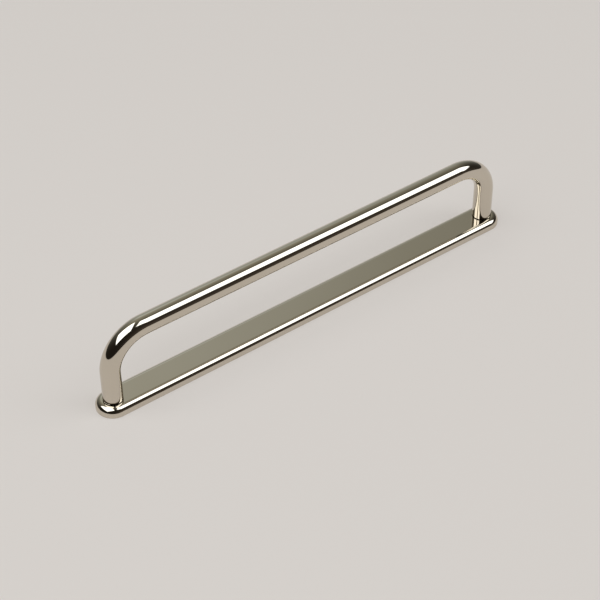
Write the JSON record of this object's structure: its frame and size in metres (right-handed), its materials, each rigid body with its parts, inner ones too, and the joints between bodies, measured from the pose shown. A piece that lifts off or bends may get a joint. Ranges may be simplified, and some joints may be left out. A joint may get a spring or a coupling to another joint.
{
  "type": "bail pull",
  "caption": "Long slim bail pull for a drawer front: a bent round rod stands square on a thin backplate with rounded ends, with a finger gap behind its grip and tapped feet for screws.",
  "frame": {"origin": "middle of the backplate's back face, which lies on the drawer front, half way between the fixing screws", "axes": "+X along the grip, +Y across the backplate, +Z out of the drawer front towards the grip"},
  "size_m": [0.1722, 0.0122, 0.033],
  "materials": {
    "polished_nickel": "polished"
  },
  "bodies": {
    "root": {"bail": "polished_nickel", "backplate": "polished_nickel"}
  },
  "joints": []
}
